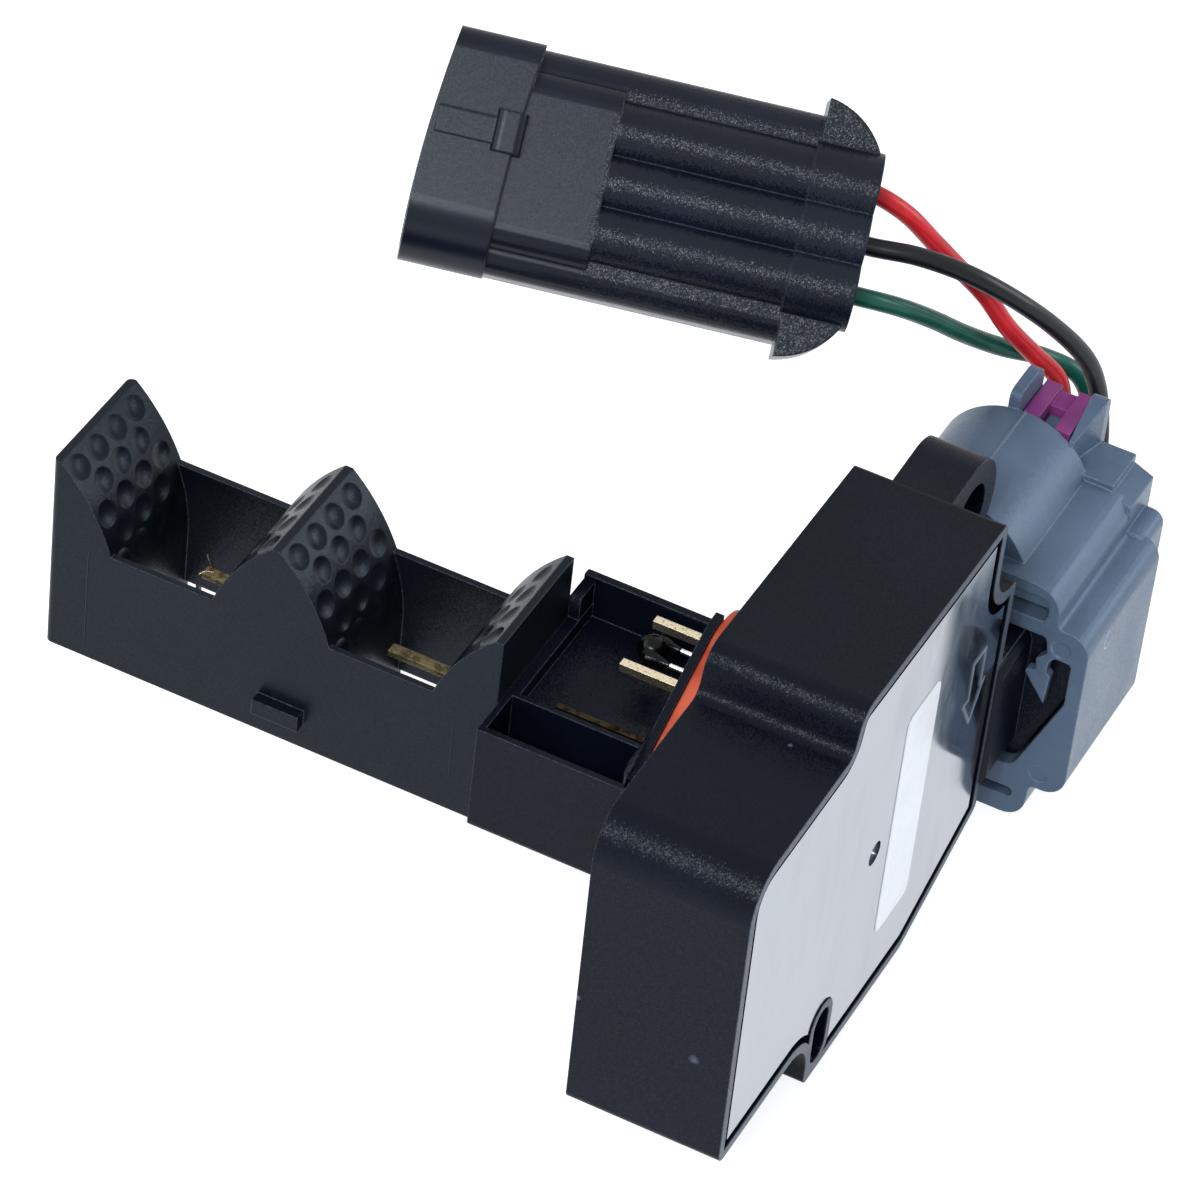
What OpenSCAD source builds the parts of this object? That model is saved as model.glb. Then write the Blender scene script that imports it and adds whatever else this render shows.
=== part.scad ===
/* [Sensor box] */
// Depth of the box from its seat face to its rim
box_d = 20.5; // [18:0.5:26]
// Reach of the box to the side away from the connector
box_left = 38.6; // [36:0.2:44]
// Reach of the box to the connector side
box_right = 37.6; // [36:0.2:42]
// Height of the top edge above the collar axis
box_top = 26.2; // [25:0.2:30]
// Height of the lower shoulder of the top edge
shoulder_z = 20.4; // [18:0.2:22]
// Drop of the bottom edge below the collar axis
box_bottom = 26; // [24:0.5:28]
// Drop of the lower tab below the collar axis
tab_bottom = 35; // [33:0.5:40]
// Thickness of the box floor behind the circuit board
box_floor = 3; // [2:0.25:4]
// Thickness of the rim round the cover
rim_t = 1.35; // [1:0.05:1.6]
// Width of the dark groove between rim and cover
groove_w = 1; // [0.6:0.1:1.2]
// Depth of the ledge that carries the cover
ledge_d = 1.8; // [1.4:0.1:2.4]
// Width of the ledge under the edge of the cover
ledge_w = 1.05; // [0.8:0.05:1.4]
// How far the cover lies below the rim
cover_sink = 0.2; // [0:0.05:0.5]
// Length of the obround slot near the lower notch
slot_l = 8.5; // [6:0.5:10]
// Width of the obround slot
slot_w = 4.2; // [3:0.1:5]
// Depth of the obround slot
slot_deep = 8; // [4:0.5:10]

/* [Mounting ears] */
// Diameter of the screw holes in the ears
ear_bore = 9.5; // [6:0.1:11]
// Outer radius of the ears
ear_r = 8; // [7.4:0.1:9]
// Thickness of the ears along the screws
ear_t = 8.1; // [6:0.1:10]
// Distance of the ears from the seat face
ear_x = 5; // [2:0.5:6]
// Radius of the screw notches in the box outline
notch_r = 6; // [5:0.1:7]

/* [Collar and gasket] */
// Thickness of the flange plate
flange_t = 1.1; // [0.8:0.1:1.8]
// Thickness of the gasket
gasket_t = 2.6; // [1.6:0.1:3.4]
// How far the gasket edge lies inside the flange edge
gasket_in = 0.8; // [0.4:0.1:1.4]
// How far the collar lies inside the flange edge
collar_in = 2.7; // [2:0.1:3.4]
// Gap between gasket and collar
gasket_gap = 0.1; // [0.05:0.05:0.3]

/* [Probe] */
// Length of the flow probe from its tip to the root
probe_l = 61.6; // [56:0.2:70]
// Width of the flow probe
probe_w = 18.4; // [17:0.2:22]
// Height of the ramp crests above the collar axis
crest_z = 20.8; // [18:0.2:23]
// Height of the front sills of the flow windows
sill_z = 9; // [7:0.2:10]
// Height of the rear wall of the flow windows
back_z = 11.1; // [10.2:0.1:12]
// Drop of the probe bottom below the collar axis
probe_bottom = 8.6; // [8:0.2:11]
// Gap left under the rear wall of the flow windows
slot_h = 1.4; // [1:0.1:3]
// Thickness of the front and rear walls of the probe
probe_wall = 0.9; // [0.7:0.05:1.6]
// Width of the flat on each crest
crest_flat = 1; // [0.6:0.1:1.6]
// Length of each ramp along the probe
ramp_l = 7.6; // [6.5:0.1:9]
// Radius of the bulge of each ramp face
ramp_r = 27; // [22:1:60]
// Diameter of the dimples in the ramp faces
dimple_d = 3.6; // [2:0.1:3.8]
// Depth of the dimples
dimple_h = 0.44; // [0.2:0.02:0.5]
// Distance between neighbouring dimples in a row
dimple_pitch = 4.4; // [4.2:0.1:5]
// Distance between neighbouring rows of dimples
dimple_row = 3.5; // [3.3:0.1:4.2]
// Distance of the first row from the crest
dimple_from = 2.2; // [2:0.1:3]
// Number of rows of dimples on a ramp face
dimple_rows = 5; // [3:1:5]

/* [Probe root] */
// Length of the wide root between flange and probe
root_l = 19.4; // [18:0.2:24]
// Reach of the root in front of the collar axis
root_front = 22.7; // [20:0.1:24]
// Reach of the root behind the collar axis
root_back = 6.3; // [5.5:0.1:8]
// Drop of the root bottom below the collar axis
root_bottom = 4.5; // [3:0.5:8]
// Height of the compartment floor
root_floor = 9.4; // [8.6:0.2:10]
// Height of the front lip and of the pocket walls
root_lip = 11.4; // [10.6:0.2:12]
// Height of the rear wall of the compartment
root_wall_z = 15.5; // [14.4:0.1:17]
// Thickness of the rear wall of the compartment
root_wall = 1.6; // [1:0.1:2]
// Depth of the open pocket in front of the compartment
pocket_deep = 9; // [6:0.5:11]
// Width of the open pocket
pocket_w = 6.6; // [5:0.1:7]

/* [Sensing parts] */
// Height of the two flat posts above the collar axis
post_z = 14; // [13.4:0.1:14.6]
// Thickness of the flat posts
post_t = 1.2; // [0.8:0.1:1.6]
// Length of the posts in front of the flange
post_l = 8.9; // [7:0.1:10]
// Diameter of the temperature bead
bead_d = 3.8; // [3:0.1:4.4]
// Diameter of the bead leads
lead_d = 0.7; // [0.5:0.1:1]

/* [Wiring connector] */
// Distance of the connector rim from the collar axis
conn_y = 43.5; // [43:0.5:46]
// Length of the connector body
conn_l = 22.5; // [20:0.5:28]
// Radius of the round tube on top of the connector
tube_r = 10.6; // [9.6:0.1:11.2]
// Thickness of the connector walls
conn_wall = 2; // [1.4:0.1:2.4]
// Width of the shroud that the connector plugs over
shroud_w = 17.6; // [17:0.2:18.4]
// Height of the shroud
shroud_h = 21.8; // [21:0.2:22.2]
// Thickness of the shroud wall
shroud_t = 1.4; // [1:0.1:1.8]
// Gap between shroud and connector core
core_gap = 0.9; // [0.5:0.1:1.2]
// Distance between neighbouring terminals
pin_pitch = 4.5; // [4.2:0.1:4.8]

/* [Purple lock] */
// Width of the sliding lock
lock_w = 6.9; // [6.5:0.1:7.2]
// Length of the lock behind the connector
lock_l = 8.5; // [7:0.1:9]
// Gap between the lock tongue and its channel
lock_gap = 0.2; // [0.1:0.05:0.3]

/* [Cable and adapter] */
// Outer diameter of the three wires
wire_d = 2.46; // [2:0.02:2.6]
// Length of the adapter
adapter_l = 55; // [50:1:60]
// Width of the adapter across its row of pins
adapter_w = 30; // [28:0.1:32]
// Thickness of the adapter
adapter_t = 15.6; // [14:0.2:18]
// Distance between neighbouring adapter pins
adapter_pitch = 6.5; // [6.2:0.1:7]
// Length of the raised collar at the adapter mouth
mouth_collar = 10.8; // [8:0.2:12]
// Depth of the adapter mouth
mouth_deep = 22; // [18:1:24]
// Wall thickness of the adapter mouth
mouth_wall = 1.6; // [1.2:0.1:2]

/* [Hidden] */
$fn = 48;
eps = 0.01;
fit = 0.05;

// Directions and corners of rounded outlines.
// A corner is [across, up, radius]; outlines run counter-clockwise.
function unit(v) = v / norm(v);
function at(p) = [p[0], p[1]];
function cross2(a, b) = a[0] * b[1] - a[1] * b[0];
function turn(a, b) = atan2(cross2(a, b), a * b);

// Points of the arc that replaces corner b between its neighbours a and c.
function corner_arc(a, b, c) =
  let (
    u = unit(at(a) - at(b)),
    v = unit(at(c) - at(b)),
    half = acos(max(-1, min(1, u * v))) / 2,
    reach = min(b[2] / tan(half), norm(at(a) - at(b)), norm(at(c) - at(b))),
    mid = at(b) + unit(u + v) * reach / cos(half),
    from = at(b) + u * reach - mid,
    sweep = turn(from, at(b) + v * reach - mid),
    steps = max(3, ceil(abs(sweep) * sqrt(b[2]) / 25))
  )
  b[2] < eps ? [at(b)] : [
    for (i = [0 : steps])
      let (s = sweep * i / steps)
      mid + [from[0] * cos(s) - from[1] * sin(s), from[0] * sin(s) + from[1] * cos(s)]
  ];

function rounded(c) = [
  for (i = [0 : len(c) - 1])
    each corner_arc(c[(i + len(c) - 1) % len(c)], c[i], c[(i + 1) % len(c)])
];

// The same outline moved inwards by d, with its radii following.
function inset(c, d) = [
  for (i = [0 : len(c) - 1])
    let (
      a = c[(i + len(c) - 1) % len(c)],
      b = c[i],
      n = c[(i + 1) % len(c)],
      e1 = unit(at(b) - at(a)),
      e2 = unit(at(n) - at(b)),
      n1 = [-e1[1], e1[0]],
      n2 = [-e2[1], e2[0]],
      p = at(b) + (n1 + n2) * d / (1 + n1 * n2)
    )
    [p[0], p[1], max(0, cross2(e1, e2) > 0 ? b[2] - d : b[2] + d)]
];

// Points of a rounded rectangle about a centre.
function box_corners(c, w, h, r) = [
  [c[0] - w / 2, c[1] - h / 2, r],
  [c[0] + w / 2, c[1] - h / 2, r],
  [c[0] + w / 2, c[1] + h / 2, r],
  [c[0] - w / 2, c[1] + h / 2, r]
];

// Extrusions along the probe axis and along the connector axis.
module along_x(x0, x1) {
  translate([x0, 0, 0]) rotate([90, 0, 90]) linear_extrude(x1 - x0) children();
}

module along_y(y0, y1) {
  translate([0, y1, 0]) rotate([90, 0, 0]) linear_extrude(y1 - y0) children();
}

module block(a, b) {
  translate(a) cube(b - a);
}

module obround(c, w, l) {
  translate([c[0] - w / 2, c[1] - (l - w) / 2]) square([w, l - w]);
  for (s = [-1, 1]) translate([c[0], c[1] + s * (l - w) / 2]) circle(d = w);
}

// Box outline: shoulder on the top edge, tab at the bottom, a screw notch at two corners.
lower_ear = [-18, -box_bottom - notch_r - 0.2];
upper_ear = [box_right - 0.2, 17.3];
tab_left = lower_ear[0] + notch_r;
step_y = -11.4;
tab_slant = [16.4, 37.1, 7.6];
box_outline = [
  [-box_left + 1, -box_bottom, 1.5],
  [tab_left, -box_bottom, notch_r],
  [tab_left, -tab_bottom, 1],
  [tab_slant[0], -tab_bottom, 2],
  [min(tab_slant[1], box_right), -tab_bottom + tab_slant[2], 1.5],
  [box_right, upper_ear[1] - notch_r - 0.5, 0.6],
  [upper_ear[0] - notch_r - 0.6, upper_ear[1] - notch_r - 0.5, notch_r],
  [upper_ear[0] - notch_r - 0.6, box_top - 0.9, 1.2],
  [step_y + 0.8, box_top, 3.5],
  [step_y - 0.8, shoulder_z, 2],
  [-box_left, shoulder_z - 0.2, 6]
];
cover_in = rim_t + groove_w;
cavity_in = cover_in + ledge_w;
ledge_x = box_d - ledge_d;
cover_x = box_d - cover_sink;
slot_c = [tab_left + slot_w / 2 + 1.2, -tab_bottom + slot_l / 2 + 1.8];
island_t = 1.1;

// Flange outline and the planes of flange, gasket and seat.
flange_x0 = -gasket_t - flange_t;
flange_outline = [
  [-root_front - 0.9, -9.4, 5],
  [14.5, -9.4, 6],
  [15, 11.5, 6],
  [1, 23.9, 8],
  [-root_front - 0.9, 11.6, 3.4]
];
flange_notch = [0, 9.5, 13];

// Probe planes.
root_x = flange_x0 - root_l;
tip_x = root_x - probe_l;
probe_y0 = 1 - probe_w;
first_crest = tip_x + crest_flat / 2;
crest_pitch = (probe_l - crest_flat) / 2;
post_y = [-5.9, 3.1];
post_x = flange_x0 - post_l;
bead_c = [flange_x0 - 7, (post_y[0] + post_y[1]) / 2, post_z];
lead_off = 1.55;
lead_y = [bead_c[1] - lead_off, bead_c[1] + lead_off];
lead_x = bead_c[0] + sqrt(pow(bead_d / 2, 2) - pow(lead_off - lead_d / 2, 2)) + fit;

// Connector planes. The shroud and the plugged core share one centre.
shroud_in = 7.9;
shroud_c = [box_d - shroud_in, -12.8];
conn_back = conn_y + conn_l;
shroud_l = 14.5;
shroud_end = conn_y + shroud_l;
cavity_end = conn_back - 4;
pin_x = [for (i = [-1 : 1]) shroud_c[0] + i * pin_pitch];
pin_up = 1.6;
pin_z = shroud_c[1] + pin_up;
board_t = 1.6;
board_up = 1;
board_x = pin_x[0] - board_up - board_t;
board_in = cavity_in + 0.4;
board_chips = [[[-8, -10], [12, 12, 2]], [[10, 4], [7, 5, 1.6]]];
pillars = [[-30, -18], [-30, 12], [26, -20], [22, 16]];
pillar_d = 3;
blade_leg = [33, 31, 29];
blade_w = 1.5;
blade_t = 0.64;
blade_end = conn_y + 9;
term_y0 = conn_y + 4;
term_l = 11;
term_y1 = term_y0 + term_l;
term_s = 2.6;
crimp_d = 2.2;
seal_len = 4.5;
seal_d = 3.9;
wire_y0 = conn_back - 3;
wire_bore = wire_d + 2 * fit;
tube_c = [shroud_c[0] - 3.9, 1.6];
tube_y0 = conn_y + 2.6;
seam_t = 0.15;
lock_x = shroud_c[0] - 4.6;
lock_y0 = conn_back + 0.4;
lock_z = [4.6, 6.8, 11];
tongue_l = 8;
guard_t = 1.5;
guard_z = 14.5;
guard_y = conn_back + 8;

// Adapter pose: the end of the middle wire hole, then the turns about X, Y and Z.
adapter_at = [-14.4, 61, 32.4];
adapter_turn = [46, 6.5, 20.5];
adapter_seal_d = 5.4;
adapter_recess = 4;
adapter_seal_l = 5;
adapter_wire_x = -7;
adapter_crimp = 5;
body_w = adapter_w - 1;
body_t = adapter_t - 2.4;
body_r = 3.2;
key_r = 2.9;
mouth_bow = 1.4;
mouth_x = adapter_l + mouth_bow;
bow_r = 150;
bow_y = -7;
ridge_x = 33.2;
ridge_r = 4.1;
ridge_z = 2.7;
ridge_base = 4.4;
fin_x = 8.2;
collar_r = 4.9;
collar_z = 2.3;
pin_recess = 8;
wing_r = 10;
wing_c = [-9.6, adapter_w / 2 - 8.4];

// Wire routes from the connector to the adapter.
red_route = [
  [8.1, 63, -11.2], [8.1, 69, -11.2], [8.1, 74.6, -9.6], [8.3, 79, -5.4],
  [8.5, 81.2, 0.4], [7.7, 80.6, 6.6], [4.6, 78, 11.4], [1.4, 75.6, 16],
  [-1.8, 74, 21], [-5, 71.8, 25.4], [-8.2, 69.8, 29.6], [-11.4, 67.6, 34],
  [-15.2, 65.5, 37], [-18.7, 64.2, 37.4], [-21.8, 63.1, 37.8]
];
green_route = [
  [12.6, 63, -11.2], [12.6, 69, -11.2], [12.5, 75.4, -10.4], [12.2, 81, -7],
  [11.6, 84.8, -1.2], [9.2, 84.6, 5], [4.9, 82, 8.2], [0.6, 76.8, 11.6],
  [-2.8, 71.6, 15.8], [-5.6, 66.8, 20.2], [-8.4, 62, 24.2], [-11.9, 57.8, 27.1],
  [-16.6, 55.4, 28.1], [-19.6, 54.2, 28.5]
];
black_route = [
  [17.1, 63, -11.2], [17.1, 69, -11.2], [16.6, 74.8, -9.8], [15.4, 79.2, -5.6],
  [14, 81.6, 0.6], [12.8, 81, 7.6], [11.1, 78.8, 13.4], [7.6, 74.8, 19.6],
  [3, 70.2, 25.4], [-2.2, 66.6, 29.4], [-7.8, 63.7, 31.6], [-13, 61.5, 32.2],
  [-17.7, 59.8, 32.8], [-20.7, 58.6, 33.2]
];

// One tube through the points of a route, with a square cut at each end.
function tangent(p, i) = unit(p[min(i + 1, len(p) - 1)] - p[max(i - 1, 0)]);

module wire(p) {
  sides = 8;
  rings = [
    for (i = [0 : len(p) - 1])
      let (
        t = tangent(p, i),
        a = unit(cross([1, -1, 1], t)),
        b = cross(t, a)
      )
      for (k = [0 : sides - 1])
        p[i] + (a * cos(360 * k / sides) + b * sin(360 * k / sides)) * wire_d / 2
  ];
  last = (len(p) - 1) * sides;
  polyhedron(
    points = rings,
    faces = concat(
      [[for (k = [0 : sides - 1]) k]],
      [[for (k = [sides - 1 : -1 : 0]) last + k]],
      [
        for (i = [0 : len(p) - 2], k = [0 : sides - 1])
          let (n = (k + 1) % sides)
          each [
            [i * sides + k, (i + 1) * sides + k, (i + 1) * sides + n],
            [i * sides + k, (i + 1) * sides + n, i * sides + n]
          ]
      ]
    )
  );
}

// Flat outlines.
module box_shape(d = 0) {
  polygon(rounded(inset(box_outline, d)));
}

module flange_shape(d = 0) {
  polygon(rounded(inset(flange_outline, d)));
}

module shroud_shape(d = 0) {
  polygon(rounded(inset(box_corners(shroud_c, shroud_w, shroud_h, 3), d)));
}

// Upper and lower ear with the webs that join them to the box.
module ears() {
  along_x(ear_x, ear_x + ear_t) difference() {
    union() {
      translate(upper_ear) circle(r = ear_r);
      translate(lower_ear) circle(r = ear_r);
      polygon([
        upper_ear + [-ear_r - 1, -ear_r - 1],
        upper_ear + [0, -ear_r],
        upper_ear,
        upper_ear + [0, ear_r],
        upper_ear + [-ear_r - 1, ear_r - 0.4]
      ]);
      polygon([
        lower_ear + [-ear_r, 0],
        lower_ear + [ear_r, 0],
        lower_ear + [ear_r, ear_r + 1],
        lower_ear + [-ear_r, ear_r + 1]
      ]);
    }
    translate(upper_ear) circle(d = ear_bore);
    translate(lower_ear) circle(d = ear_bore);
    box_shape(cavity_in);
  }
}

// Open box with a rim, a ledge for the cover and pillars for the board.
module box_shell() {
  difference() {
    along_x(0, box_d) box_shape();
    along_x(ledge_x, box_d + 1) box_shape(rim_t);
    along_x(box_floor, box_d) box_shape(cavity_in);
    for (p = [upper_ear, lower_ear])
      along_x(-1, ear_x + ear_t + eps) translate(p) circle(d = ear_bore);
  }
  along_x(box_floor - eps, board_x) for (p = pillars) translate(p) circle(d = pillar_d);
  difference() {
    along_x(box_floor - eps, box_d) obround(slot_c, slot_w + 2 * island_t, slot_l + 2 * island_t);
    along_x(box_d - slot_deep, box_d + 1) obround(slot_c, slot_w, slot_l);
    along_x(ledge_x, box_d + 1) difference() {
      translate([slot_c[0] - slot_w, slot_c[1] - slot_l]) square([slot_w * 2, slot_l * 2]);
      box_shape(0.2);
    }
  }
}

// Shroud on the connector side, open at its far end, with a ledge behind the latch.
latch_t = 1.4;
ledge_y = [conn_y + latch_t + 0.3, conn_y + 6];

module shroud() {
  difference() {
    union() {
      along_y(box_right - rim_t, shroud_end) shroud_shape();
      along_y(ledge_y[0], ledge_y[1]) polygon(rounded(inset(cavity_outline, conn_gap / 2)));
    }
    along_y(conn_y - 3, shroud_end + 1) shroud_shape(shroud_t);
  }
}

// Flange, collar and the wide root of the probe.
module flange() {
  difference() {
    along_x(flange_x0, -gasket_t) flange_shape();
    block(
      [flange_x0 - 1, flange_notch[0], flange_notch[2]],
      [-gasket_t + 1, flange_notch[1], box_top]
    );
  }
  along_x(-gasket_t - eps, eps) flange_shape(collar_in);
}

root_y = [-root_front, root_back];
root_outline = [
  [root_y[0], -root_bottom, 0.8],
  [root_y[1], -root_bottom, 0.8],
  [root_y[1], root_wall_z, 0.8],
  [root_y[0], root_wall_z, 0.8]
];
rib_y = -root_front + probe_wall + pocket_w;
rib_t = 0.75;

module root() {
  difference() {
    along_x(root_x, flange_x0 + eps) polygon(rounded(root_outline));
    block(
      [root_x - 1, root_y[0] - 1, root_lip],
      [flange_x0 - eps, root_y[1] - root_wall, root_wall_z + 1]
    );
    block(
      [root_x + root_wall, rib_y + rib_t, root_floor],
      [flange_x0, root_y[1] - root_wall, root_wall_z + 1]
    );
    block(
      [root_x + probe_wall, root_y[0] + probe_wall, root_lip - pocket_deep],
      [flange_x0, rib_y, root_wall_z + 1]
    );
  }
  block([root_x, 1, root_floor - 1], [root_x + root_wall - 0.1, root_y[1] - 0.8, root_wall_z - 0.7]);
}

module sensor_housing() {
  color([0.13, 0.14, 0.16]) difference() {
    union() {
      box_shell();
      ears();
      shroud();
      flange();
      root();
    }
    for (i = [0 : 1])
      block(
        [flange_x0, post_y[i] - post_t / 2, post_z - post_t / 2],
        [-0.6, post_y[i] + post_t / 2, post_z + post_t / 2]
      );
    for (y = lead_y)
      along_x(flange_x0 - 1, -0.6) translate([y, post_z]) circle(d = lead_d);
    for (x = pin_x)
      block(
        [x - blade_t / 2, box_right - cavity_in - 1, pin_z - blade_w / 2],
        [x + blade_t / 2, conn_y, pin_z + blade_w / 2]
      );
  }
}

// Side profile of one crest: two bulged ramps that meet in a narrow flat.
ramp_top = [crest_flat / 2, crest_z];
ramp_foot = [crest_flat / 2 + ramp_l, sill_z];
ramp_chord = norm(ramp_foot - ramp_top);
ramp_in = unit([ramp_top[1] - ramp_foot[1], ramp_foot[0] - ramp_top[0]]);
ramp_mid = (ramp_top + ramp_foot) / 2;
ramp_axis = ramp_mid - ramp_in * sqrt(ramp_r * ramp_r - ramp_chord * ramp_chord / 4);

// Half width of a peak where its bulged faces have turned upright.
peak_half = ramp_axis[0] + ramp_r;

module crest_shape(left, right) {
  intersection() {
    translate([left ? -peak_half : -crest_flat / 2, -probe_bottom])
      square([
        left && right ? 2 * peak_half : peak_half + crest_flat / 2,
        crest_z + probe_bottom
      ]);
    if (right) ramp_side();
    if (left) mirror([1, 0]) ramp_side();
  }
}

// Everything on the inner side of one ramp: a round bulge above an upright wall.
module ramp_side() {
  translate(ramp_axis) circle(r = ramp_r, $fn = 180);
  translate([ramp_axis[0] - ramp_r, ramp_axis[1] - 3 * ramp_r]) square([2 * ramp_r, 3 * ramp_r]);
}

// Dimples of one ramp face: staggered rows of shallow spherical cups.
// Each row lies on the bulge, so the cups follow the curve of the ramp.
dimple_r = (pow(dimple_d / 2, 2) + pow(dimple_h, 2)) / (2 * dimple_h);
ramp_from = atan2(ramp_top[1] - ramp_axis[1], ramp_top[0] - ramp_axis[0]);

module dimples(side) {
  reach = ramp_r + dimple_r - dimple_h;
  for (j = [0 : dimple_rows - 1]) {
    a = ramp_from - (dimple_from + j * dimple_row) / ramp_r * 180 / PI;
    first = j % 2 == 0 ? dimple_pitch / 2 : dimple_pitch;
    for (y = [first : dimple_pitch : probe_w - dimple_d / 2 - 0.3])
      translate([
        side * (ramp_axis[0] + reach * cos(a)),
        probe_y0 + y,
        ramp_axis[1] + reach * sin(a)
      ]) sphere(r = dimple_r);
  }
}

// Plan of the probe, with the two upright edges of its tip rounded.
tip_r = 0.8;

module probe_plan() {
  translate([0, 0, -probe_bottom]) linear_extrude(crest_z + probe_bottom) polygon(rounded([
    [tip_x, probe_y0, tip_r], [root_x, probe_y0, 0], [root_x, 1, 0], [tip_x, 1, tip_r]
  ]));
}

// Valley between two crests: walls in front and behind, open above and below.
module valley_walls() {
  block([tip_x + 1, probe_y0, -probe_bottom], [root_x - 0.2, probe_y0 + probe_wall, sill_z]);
  block([tip_x + 1, 1 - probe_wall, slot_h - probe_bottom], [root_x - 0.2, 1, back_z]);
  block(
    [slot_rib_x, 1 - probe_wall, -probe_bottom],
    [slot_rib_x + slot_rib_t, 1, slot_h - probe_bottom + eps]
  );
}

// Thin rib that parts the bottom slot of the first valley.
slot_rib_t = 0.4;
slot_rib_x = first_crest + crest_pitch / 2 - 4.2;

// Small moulded nub on the front wall, under the middle crest.
nub_x = [first_crest + crest_pitch - 1, first_crest + crest_pitch + 5.4];
nub_z = [-4.9, -2.6];

module flow_probe() {
  color([0.12, 0.13, 0.15]) {
    difference() {
      intersection() {
        along_y(probe_y0, 1) {
          translate([first_crest, 0]) crest_shape(false, true);
          translate([first_crest + crest_pitch, 0]) crest_shape(true, true);
          translate([first_crest + 2 * crest_pitch, 0]) crest_shape(true, false);
        }
        probe_plan();
      }
      for (s = [[0, 1], [1, -1], [1, 1], [2, -1]])
        translate([first_crest + s[0] * crest_pitch, 0, 0]) dimples(s[1]);
    }
    valley_walls();
    block([nub_x[0], probe_y0 - 1.6, nub_z[0]], [nub_x[1], probe_y0 + 0.5, nub_z[1]]);
  }
}

// Round mark sunk into the cover.
cover_mark = [1.5, -6.5];
cover_mark_r = 1.66;
cover_mark_h = 0.6;

module housing_cover() {
  color([0.1, 0.11, 0.13]) difference() {
    along_x(ledge_x, cover_x) box_shape(cover_in);
    along_x(ledge_x - 1, cover_x + 1)
      obround(slot_c, slot_w + 2 * island_t + 0.3, slot_l + 2 * island_t + 0.3);
    along_x(cover_x - cover_mark_h, cover_x + 1) translate(cover_mark) circle(r = cover_mark_r);
  }
}

module gasket() {
  color([0.88, 0.38, 0.25]) along_x(-gasket_t, 0) difference() {
    flange_shape(gasket_in);
    flange_shape(collar_in - gasket_gap);
  }
}

module circuit_board() {
  color([0.12, 0.35, 0.2]) {
    difference() {
      along_x(board_x, board_x + board_t) box_shape(board_in);
      along_x(board_x - 1, board_x + board_t + 1)
        obround(slot_c, slot_w + 2 * island_t + 1, slot_l + 2 * island_t + 1);
    }
    for (c = board_chips)
      along_x(board_x + board_t - eps, board_x + board_t + c[1][2])
        translate(c[0]) square([c[1][0], c[1][1]]);
  }
}

// Bare metal seen in the flow windows and on the compartment floor.
bar_y = [-7.8, -6.2];
bar_z = [2.2, 3];
stub_l = 5.2;
bar_l = 9.5;
root_bar_y = [-12.6, -11.8];
root_bar_in = 5.5;
root_bar_t = 0.5;
window_end = [for (k = [1, 2]) first_crest + k * crest_pitch - peak_half];

module window_stub() {
  color([0.78, 0.7, 0.5])
    block([window_end[0] - stub_l, bar_y[0], bar_z[0]], [window_end[0], bar_y[1], bar_z[1]]);
}

module window_bar() {
  color([0.78, 0.7, 0.5])
    block([window_end[1] - bar_l, bar_y[0], bar_z[0]], [window_end[1], bar_y[1], bar_z[1]]);
}

module root_bar() {
  color([0.72, 0.62, 0.42]) block(
    [root_x + root_bar_in, root_bar_y[0], root_floor],
    [flange_x0, root_bar_y[1], root_floor + root_bar_t]
  );
}

module post(y) {
  color([0.85, 0.75, 0.5])
    block([post_x, y - post_t / 2, post_z - post_t / 2], [-0.6, y + post_t / 2, post_z + post_t / 2]);
}

module temperature_bead() {
  color([0.08, 0.08, 0.09]) translate(bead_c) sphere(d = bead_d);
}

module bead_leads() {
  color([0.85, 0.85, 0.85])
    for (y = lead_y) along_x(lead_x, -0.6) translate([y, post_z]) circle(d = lead_d);
}

// Blade with a leg that stands on the board and a run through the box wall.
module blade(i) {
  color([0.8, 0.8, 0.78]) {
    block(
      [board_x + board_t, blade_leg[i], pin_z - blade_w / 2],
      [pin_x[i] + blade_t / 2, blade_leg[i] + blade_t, pin_z + blade_w / 2]
    );
    block(
      [pin_x[i] - blade_t / 2, blade_leg[i], pin_z - blade_w / 2],
      [pin_x[i] + blade_t / 2, blade_end, pin_z + blade_w / 2]
    );
  }
}

// Grey connector: shell with two side lobes, round tube on top and a core with three chambers.
conn_gap = 0.8;
latch_room = 6.2;
cav_left = shroud_c[0] - shroud_w / 2 - conn_gap;
cav_right = shroud_c[0] + shroud_w / 2 + latch_room;
cav_low = shroud_c[1] - shroud_h / 2 - 0.9;
cav_top = shroud_c[1] + shroud_h / 2 + 0.2;
conn_left = cav_left - conn_wall;
conn_right = cav_right + conn_wall;
conn_low = cav_low - conn_wall;
conn_top = cav_top + 1.9;
lobe_right = conn_right - 4.6;
lobe_top = cav_top + 7.7;
lobe_low = conn_low - 6;
shell_outline = [
  [conn_left, conn_low, 3],
  [conn_left + 4, conn_low, 2],
  [conn_left + 4, lobe_low, 2.5],
  [lobe_right - 0.4, lobe_low, 3],
  [lobe_right, conn_low, 0.8],
  [conn_right, conn_low, 3],
  [conn_right, conn_top, 3],
  [lobe_right, conn_top, 0.8],
  [lobe_right, lobe_top, 4],
  [conn_left, lobe_top, 4]
];

// Corner web beside the shroud, which carries the arrow-headed latch.
web = [cav_right - 3.3, cav_top - 2.9];
cavity_slant = [5.4, 13.2];
cavity_outline = [
  [cav_left, cav_low, 2],
  [cav_right - cavity_slant[0], cav_low, 2],
  [cav_right, cav_low + cavity_slant[1], 1],
  [cav_right, web[1], 0.6],
  [web[0], web[1], 0.6],
  [web[0] - 0.5, cav_top, 0.8],
  [cav_left, cav_top, 1.5]
];

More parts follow.
